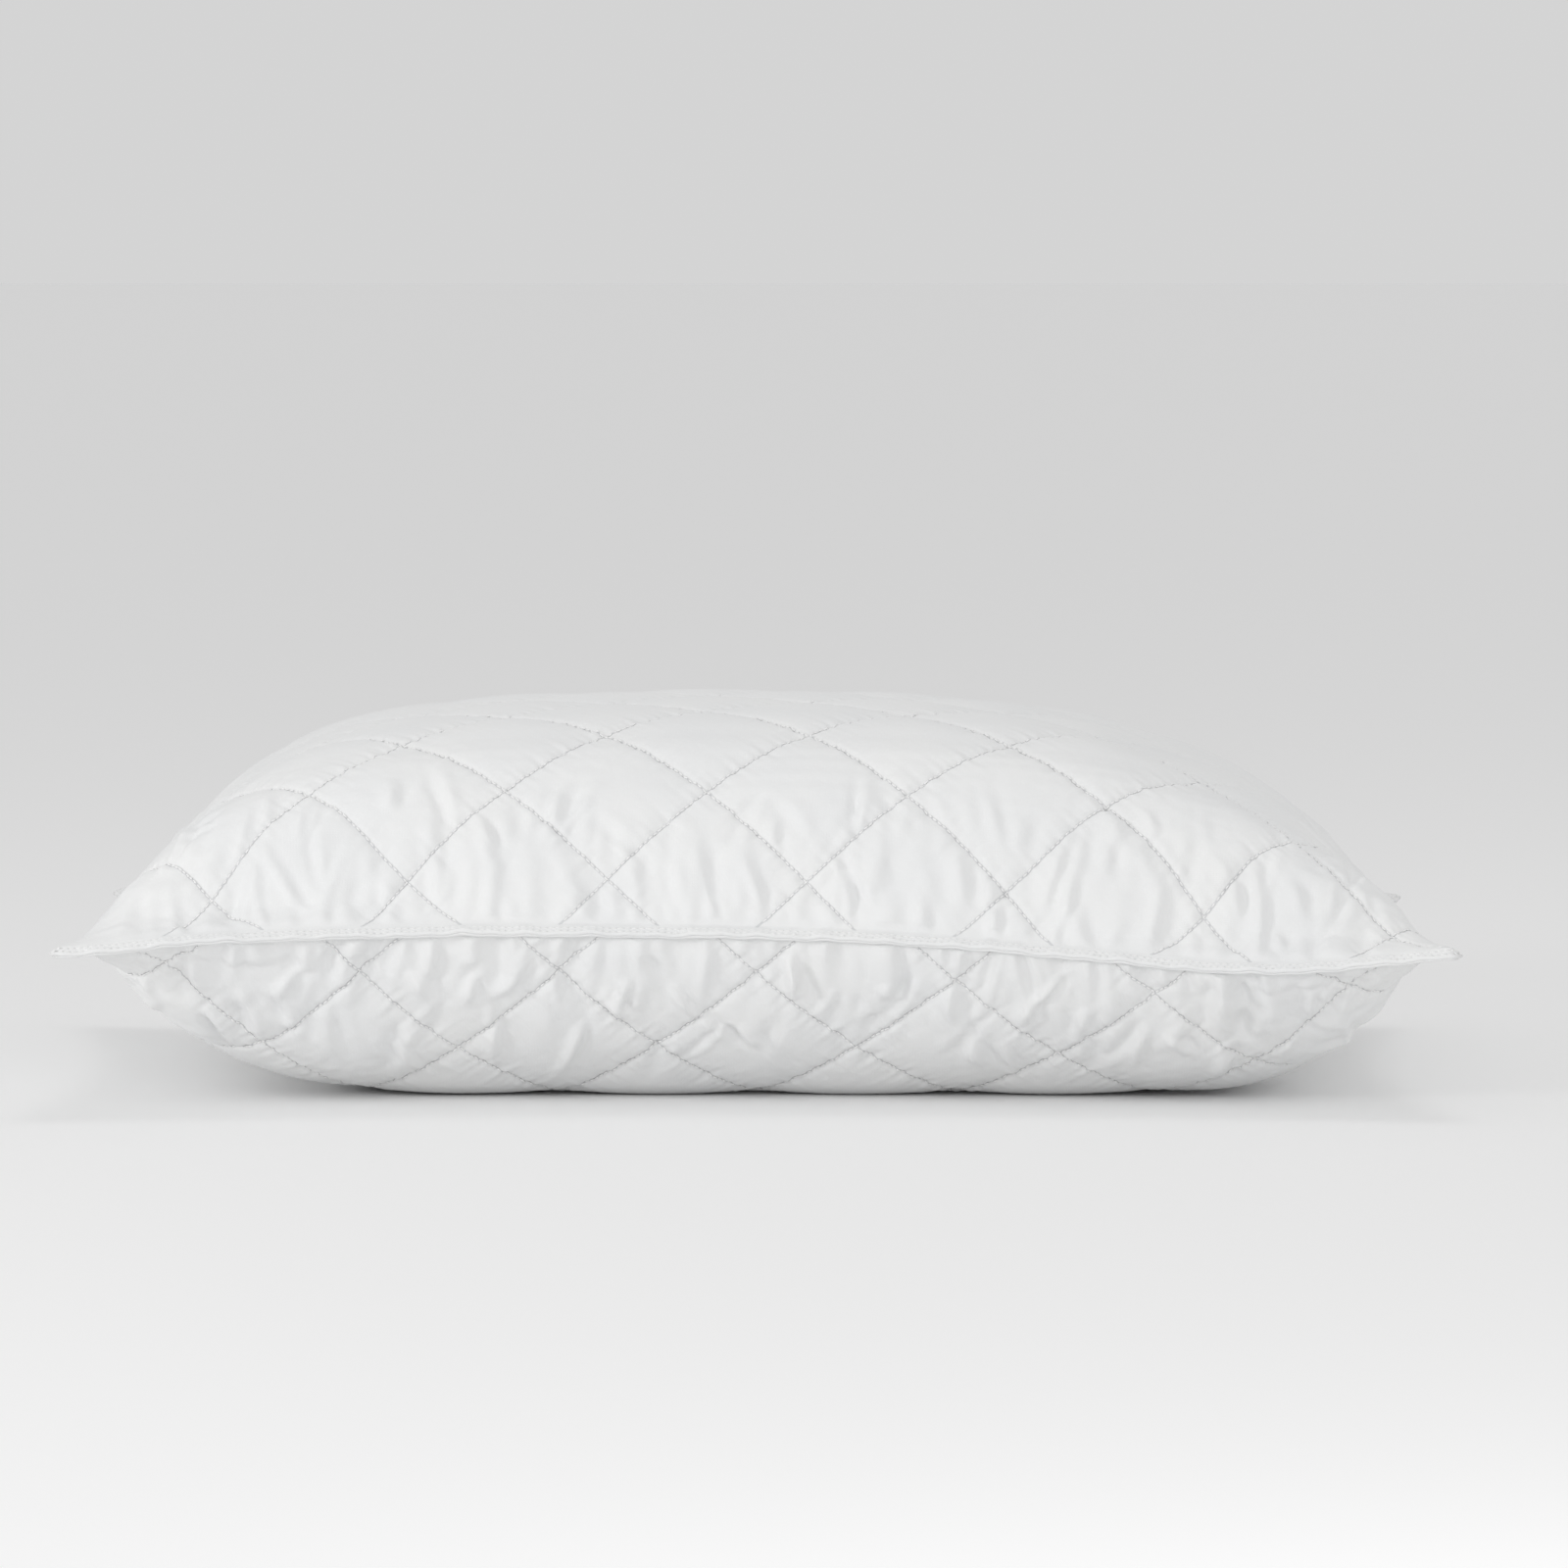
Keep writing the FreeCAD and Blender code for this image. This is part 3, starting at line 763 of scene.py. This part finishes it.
def quilting_stitches(name, face, normal, lines):
    flat, heading = quilting_places(lines)
    ahead = surface_at(face, *(flat + heading * MM).T)
    behind = surface_at(face, *(flat - heading * MM).T)
    on = unit(surface_at(normal, *flat.T))
    centre = surface_at(face, *flat.T) + on * STITCH_LIFT
    return stitches_object(name, centre, ahead - behind, on)


top_quilting = quilting_stitches("top_quilting_stitches", top_face, top_normal, TOP_LINES)
bottom_quilting = quilting_stitches(
    "bottom_quilting_stitches", bottom_face, bottom_normal, BOTTOM_LINES
)

# %% [markdown]
# Two rows of the same stitch run round the flange, in its two grooves. A third, short row on the
# left closes the opening where the bag was filled.

# %% Topstitch the flange
ROW_LIFT = 0.15
NEVER_ZERO = [1e-9, 0, 0]  # a stitch at the very end of the line still needs a direction
ROWS = [(STITCH_ROWS[0], 0.95, (0, 1)), (STITCH_ROWS[1], 1.3, (0, 1))]
CLOSING_ROW = (2.4, 1.85, (0.85, 0.94))
# Each row: millimetres out from the seam, up from the flange's middle, and its part of the way
# round from the front left corner.


def edge_stitches(name, up, rows):
    """Stitches along the flange, at distances out from the seam line."""
    centres, headings, normals = [], [], []
    facing = up * (outward * np.sin(tilt)[:, None] + np.outer(np.cos(tilt), [0, 0, 1]))
    facing = np.vstack([facing, facing[:1]])
    for out, rise, between in rows:
        line = on_flange(out, rise + ROW_LIFT, up)
        closed = np.vstack([line, line[:1]])
        length = np.concatenate([[0], np.cumsum(np.linalg.norm(np.diff(closed, axis=0), axis=1))])
        begin, end = between
        at = np.arange(begin * length[-1], end * length[-1], STITCH_PITCH)
        place = np.stack([np.interp(at, length, closed[:, k]) for k in range(3)], axis=-1)
        next_at = np.minimum(at + MM, length[-1])
        ahead = np.stack([np.interp(next_at, length, closed[:, k]) for k in range(3)], axis=-1)
        centres.append(place)
        headings.append(ahead - place + NEVER_ZERO)
        normals.append(np.stack([np.interp(at, length, facing[:, k]) for k in range(3)], axis=-1))
    return stitches_object(name, np.vstack(centres), np.vstack(headings), unit(np.vstack(normals)))


edge_top = edge_stitches("edge_topstitching_upper", 1, [*ROWS, CLOSING_ROW])
edge_bottom = edge_stitches("edge_topstitching_lower", -1, ROWS)

# %% [markdown]
# The care label is a short strip of ribbon. Its top edge is caught under the flange at the back,
# and it hangs down over the bottom panel with a slight curl. It is blank.

# %% Hang the care label
LABEL_WIDTH = 32 * MM
LABEL_DROP = 44 * MM
LABEL_THICKNESS = 0.35 * MM
LABEL_CURL = 3.5 * MM
LABEL_BULGE = 0.6
LABEL_BULGE_TURN = 2.6
LABEL_FALL = 0.4
LABEL_CAUGHT = (4.2, 0.4)  # millimetres out on the flange, and from its middle
LABEL_CELLS = (16, 22)


def hang_label():
    corner_low, corner_high = (np.array(corner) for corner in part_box("care_label"))
    middle_x = (corner_low[0] + corner_high[0]) / 2
    nearest = np.argmin(np.abs(seam_line[:, 0] - middle_x) + (seam_line[:, 1] < 0))
    heading = seam_line[nearest - 1] - seam_line[nearest + 1]
    heading = heading / np.linalg.norm(heading)
    away = outward[nearest]
    top_edge = on_flange(*LABEL_CAUGHT, -1)[nearest]
    across, down = np.meshgrid(
        np.linspace(-0.5, 0.5, LABEL_CELLS[0] + 1), np.linspace(0, 1, LABEL_CELLS[1] + 1),
        indexing="ij",
    )
    bulge = np.sin(LABEL_BULGE_TURN * down) * LABEL_BULGE
    curl = LABEL_CURL * (bulge - down**2 * (LABEL_FALL + across))
    points = top_edge + heading * (across * LABEL_WIDTH)[..., None] + away * curl[..., None]
    points = points - np.array([0, 0, LABEL_DROP]) * down[..., None]
    rows = points.shape[1]
    faces = [
        [i * rows + j, (i + 1) * rows + j, (i + 1) * rows + j + 1, i * rows + j + 1]
        for i in range(LABEL_CELLS[0])
        for j in range(LABEL_CELLS[1])
    ]
    cut = np.stack([across * LABEL_WIDTH, -down * LABEL_DROP], axis=-1).reshape(-1, 2)
    ribbon = new_piece("care_label_ribbon", points.reshape(-1, 3), faces, cut)
    thick = ribbon.modifiers.new("thickness", "SOLIDIFY")
    thick.thickness = LABEL_THICKNESS
    thick.offset = 0
    return ribbon


ribbon = hang_label()
print("label hangs", round(LABEL_DROP / MM), "mm down")

# %% [markdown]
# Every finish here is a plain white textile, so the difference is all in structure. One function
# adds a node with its settings and links, and one turns a written colour into the linear values
# that a shader works in.


# %% Helpers for materials
def colour(code):
    """An sRGB hex colour as linear red, green, blue and alpha."""
    parts = [int(code[i : i + 2], 16) / 255 for i in (1, 3, 5)]
    linear = [c / 12.92 if c <= 0.04045 else ((c + 0.055) / 1.055) ** 2.4 for c in parts]
    return (*linear, 1.0)


def add_node(tree, kind, settings=None, inputs=None):
    """A node with its settings, and its inputs set to values or linked to other nodes' outputs."""
    node = tree.nodes.new(kind)
    for key, value in (settings or {}).items():
        setattr(node, key, value)
    for key, value in (inputs or {}).items():
        if isinstance(value, bpy.types.NodeSocket):
            tree.links.new(value, node.inputs[key])
        else:
            node.inputs[key].default_value = value
    return node


def new_material(name):
    material = bpy.data.materials.new(name)
    material.use_nodes = True
    tree = material.node_tree
    return material, tree, tree.nodes["Principled BSDF"]


# %% [markdown]
# Percale is a plain weave of fine cotton, one over and one under. Real threads lie about 0.25 mm
# apart, too fine to see from here, so the weave is drawn at 0.8 mm. Cotton scatters light from
# loose fibre ends, which a little sheen gives. It also holds faint creases from its packing. Along
# each quilting line the pierced cloth lies in its own shadow, so it is drawn a little darker there,
# and the gaps between the bright stitches show it.

# %% Cotton percale
WEAVE = 0.8 * MM
BANDS = 3.1  # a wave texture of scale 1 has about this many bands in a unit
LINE_CORE = 0.3 * MM
LINE_SHADE = 1.5 * MM


def off_line(tree, uv, lines):
    """Mask of the painted shade: 0 on a quilting line, 1 away from it and on the flange. A family
    folds the flat position.
    """
    x_y = add_node(tree, "ShaderNodeSeparateXYZ", inputs={0: uv}).outputs
    shades = []
    for operation, start in (("ADD", lines[0]), ("SUBTRACT", lines[1])):
        across = add_node(tree, "ShaderNodeMath", {"operation": operation}, {0: x_y[0], 1: x_y[1]})
        moved = add_node(
            tree, "ShaderNodeMath", {"operation": "SUBTRACT"}, {0: across.outputs[0], 1: start}
        )
        near = add_node(
            tree, "ShaderNodeMath", {"operation": "PINGPONG"}, {0: moved.outputs[0], 1: DIAMOND / 2}
        )
        shades.append(add_node(
            tree, "ShaderNodeMapRange", {"interpolation_type": "SMOOTHSTEP"},
            {0: near.outputs[0], 1: LINE_CORE, 2: LINE_SHADE},
        ).outputs[0])
    clear = add_node(tree, "ShaderNodeMath", {"operation": "MULTIPLY"}, dict(enumerate(shades)))
    for place, edge in ((x_y[0], CUT_LENGTH / 2), (x_y[1], CUT_DEPTH / 2)):
        size = add_node(tree, "ShaderNodeMath", {"operation": "ABSOLUTE"}, {0: place})
        past = add_node(
            tree, "ShaderNodeMath", {"operation": "GREATER_THAN"}, {0: size.outputs[0], 1: edge}
        )
        clear = add_node(
            tree, "ShaderNodeMath", {"operation": "MAXIMUM"},
            {0: clear.outputs[0], 1: past.outputs[0]},
        )
    return clear.outputs[0]


def percale(name, lines):
    material, tree, surface = new_material(name)
    uv = add_node(tree, "ShaderNodeUVMap", {"uv_map": "flat_cloth"}).outputs["UV"]
    soft = add_node(
        tree, "ShaderNodeTexNoise", inputs={"Vector": uv, "Scale": 1 / (60 * MM), "Detail": 3.0}
    )
    slub = add_node(
        tree, "ShaderNodeTexNoise", inputs={"Vector": uv, "Scale": 1 / (5 * MM), "Detail": 5.0}
    )
    tone = add_node(tree, "ShaderNodeMix", {"data_type": "RGBA"}, {0: soft.outputs["Fac"]})
    tone.inputs[6].default_value = colour("#ebeced")
    tone.inputs[7].default_value = colour("#f4f4f3")
    # Painted shade: the cloth along each quilting line is coloured darker (#d8d9da), standing in for
    # the shadow in its groove.
    painted_line_shade = add_node(
        tree, "ShaderNodeMix", {"data_type": "RGBA"},
        {0: off_line(tree, uv, lines), 6: colour("#d8d9da"), 7: tone.outputs[2]},
    )
    threads = []
    for direction in ("X", "Y"):
        wave = add_node(
            tree, "ShaderNodeTexWave", {"bands_direction": direction},
            {"Vector": uv, "Scale": 1 / (WEAVE * BANDS), "Distortion": 0.6, "Detail": 1.0},
        )
        threads.append(wave.outputs["Fac"])
    weave = add_node(tree, "ShaderNodeMath", {"operation": "MULTIPLY"}, dict(enumerate(threads)))
    crease = add_node(
        tree, "ShaderNodeBump",
        inputs={"Strength": 0.5, "Distance": 0.5 * MM, "Height": slub.outputs["Fac"]},
    )
    bump = add_node(
        tree, "ShaderNodeBump",
        inputs={
            "Strength": 0.25, "Distance": 0.12 * MM,
            "Height": weave.outputs[0], "Normal": crease.outputs["Normal"],
        },
    )
    tree.links.new(painted_line_shade.outputs[2], surface.inputs["Base Color"])
    tree.links.new(bump.outputs["Normal"], surface.inputs["Normal"])
    surface.inputs["Roughness"].default_value = 0.82
    surface.inputs["Sheen Weight"].default_value = 0.12
    surface.inputs["Sheen Roughness"].default_value = 0.5
    surface.inputs["Specular IOR Level"].default_value = 0.25
    return material


top_panel.data.materials.append(percale("top_cotton_percale", TOP_LINES))
bottom_panel.data.materials.append(percale("bottom_cotton_percale", BOTTOM_LINES))
print("percale drawn at", round(WEAVE / MM, 2), "mm")

# %% [markdown]
# Sewing thread is spun polyester, a little brighter and smoother than the cloth. Its twist is
# drawn as fine slanted bands.

# %% Sewing thread
THREAD_TWIST = 0.5 * MM


def sewing_thread():
    material, tree, surface = new_material("spun_polyester_thread")
    place = add_node(tree, "ShaderNodeTexCoord").outputs["Object"]
    twist = add_node(
        tree, "ShaderNodeTexWave", {"bands_direction": "DIAGONAL"},
        {"Vector": place, "Scale": 1 / (THREAD_TWIST * BANDS), "Distortion": 1.0},
    )
    tone = add_node(tree, "ShaderNodeMix", {"data_type": "RGBA"}, {0: twist.outputs["Fac"]})
    tone.inputs[6].default_value = colour("#efefee")
    tone.inputs[7].default_value = colour("#fbfbfb")
    bump = add_node(
        tree, "ShaderNodeBump",
        inputs={"Strength": 0.4, "Distance": 0.1 * MM, "Height": twist.outputs["Fac"]},
    )
    tree.links.new(tone.outputs[2], surface.inputs["Base Color"])
    tree.links.new(bump.outputs["Normal"], surface.inputs["Normal"])
    surface.inputs["Roughness"].default_value = 0.6
    surface.inputs["Sheen Weight"].default_value = 0.2
    return material


thread = sewing_thread()
for piece in (top_quilting, bottom_quilting, edge_top, edge_bottom):
    piece.data.materials.append(thread)
print("thread twist drawn at", round(THREAD_TWIST / MM, 2), "mm")

# %% [markdown]
# The fill is loose polyester staple fibre: bright, matt and cloudy, with no thread in it.

# %% Polyester fibre
def polyester_fibre():
    material, tree, surface = new_material("polyester_staple_fibre")
    place = add_node(tree, "ShaderNodeTexCoord").outputs["Object"]
    cloud = add_node(
        tree, "ShaderNodeTexNoise", inputs={"Vector": place, "Scale": 1 / (12 * MM), "Detail": 8.0}
    )
    bump = add_node(
        tree, "ShaderNodeBump",
        inputs={"Strength": 0.8, "Distance": 2 * MM, "Height": cloud.outputs["Fac"]},
    )
    tree.links.new(bump.outputs["Normal"], surface.inputs["Normal"])
    surface.inputs["Base Color"].default_value = colour("#f4f4f2")
    surface.inputs["Roughness"].default_value = 0.95
    surface.inputs["Sheen Weight"].default_value = 0.3
    return material


fibre.data.materials.append(polyester_fibre())

# %% [markdown]
# The label is woven satin ribbon: one set of threads floats over the other, so it shines along its
# length and shows faint lines across.

# %% Label ribbon
def satin_ribbon():
    material, tree, surface = new_material("satin_ribbon")
    uv = add_node(tree, "ShaderNodeUVMap", {"uv_map": "flat_cloth"}).outputs["UV"]
    ribs = add_node(
        tree, "ShaderNodeTexWave", {"bands_direction": "Y"},
        {"Vector": uv, "Scale": 1 / (2.4 * MM), "Distortion": 0.4},
    )
    bump = add_node(
        tree, "ShaderNodeBump",
        inputs={"Height": ribs.outputs["Fac"], "Strength": 0.3, "Distance": 0.1 * MM},
    )
    surface.inputs["Base Color"].default_value = colour("#f3f4f5")
    surface.inputs["Roughness"].default_value = 0.38
    surface.inputs["Sheen Weight"].default_value = 0.2
    surface.inputs["Anisotropic"].default_value = 0.5
    tree.links.new(bump.outputs["Normal"], surface.inputs["Normal"])
    return material


ribbon.data.materials.append(satin_ribbon())

# %% [markdown]
# All the pieces belong to one body, because nothing in a pillow turns or slides.

# %% Say what each piece is
for piece in (top_panel, bottom_panel, top_quilting, bottom_quilting, edge_top, edge_bottom, fibre):
    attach(piece, "root")
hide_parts("fibre_fill")
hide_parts("top_face_cloth", "top_wadding", "top_backing_cloth")
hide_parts("bottom_face_cloth", "bottom_wadding", "bottom_backing_cloth")
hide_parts("top_quilting_needle_thread", "top_quilting_bobbin_thread")
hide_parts("bottom_quilting_needle_thread", "bottom_quilting_bobbin_thread")
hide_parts("edge_topstitch_needle_thread", "closing_seam_thread", "main_seam_thread")
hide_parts("edge_topstitch_bobbin_thread")

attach(ribbon, "root")
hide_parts("care_label")

# %% [markdown]
# The stage is a pale floor, a pale world and three soft lamps, so that gentle shadows shape the
# white cloth and none of it burns out from the front.

# %% Stage, lamps and camera
FLOOR_SIZE = 40.0
bpy.ops.object.select_all(action="DESELECT")
bpy.ops.mesh.primitive_plane_add(size=FLOOR_SIZE)
floor = bpy.context.object
floor.name = "floor"
floor_material, _, floor_surface = new_material("pale_floor")
floor_surface.inputs["Base Color"].default_value = colour("#fdfdfd")
floor_surface.inputs["Roughness"].default_value = 0.9
floor.data.materials.append(floor_material)


def lamp(name, place, aim, size, watts):
    data = bpy.data.lights.new(name, "AREA")
    data.shape = "RECTANGLE"
    data.size, data.size_y = size
    data.energy = watts
    item = bpy.data.objects.new(name, data)
    item.location = place
    item.rotation_euler = (Vector(aim) - Vector(place)).to_track_quat("-Z", "Y").to_euler()
    bpy.context.scene.collection.objects.link(item)


lamp("key", (-2.0, -1.5, 0.6), (0, 0, 0.08), (0.5, 0.4), 11.5)
lamp("front", (0.5, -2.6, 0.6), (0, 0, 0.06), (1.0, 0.6), 8)
lamp("top", (0.3, 0.2, 2.4), (0, 0, 0.1), (1.0, 0.8), 4.2)

world = bpy.data.worlds.new("studio")
world.use_nodes = True
world.node_tree.nodes["Background"].inputs["Color"].default_value = colour("#ffffff")
world.node_tree.nodes["Background"].inputs["Strength"].default_value = 0.66
bpy.context.scene.world = world

FRAME_WIDTH = 0.738  # metres across the view, at the near corners of the pillow
CAMERA_DISTANCE = 5.0
SENSOR_WIDTH = 36  # millimetres, as the lens is
ELEVATION = math.radians(4.5)
camera_data = bpy.data.cameras.new("camera")
camera = bpy.data.objects.new("camera", camera_data)
aim = Vector((0, 0, LOFT / 2))
camera.location = aim + CAMERA_DISTANCE * Vector((0, -math.cos(ELEVATION), math.sin(ELEVATION)))
camera.rotation_euler = (aim - camera.location).to_track_quat("-Z", "Y").to_euler()
camera_data.sensor_width = SENSOR_WIDTH
camera_data.lens = SENSOR_WIDTH * (CAMERA_DISTANCE - HALF_DEPTH) / FRAME_WIDTH
camera_data.shift_x = 0.0175
camera_data.shift_y = 0.063
camera_data.clip_start = 0.05
bpy.context.scene.collection.objects.link(camera)
bpy.context.scene.camera = camera
bpy.context.scene.view_settings.view_transform = "Standard"
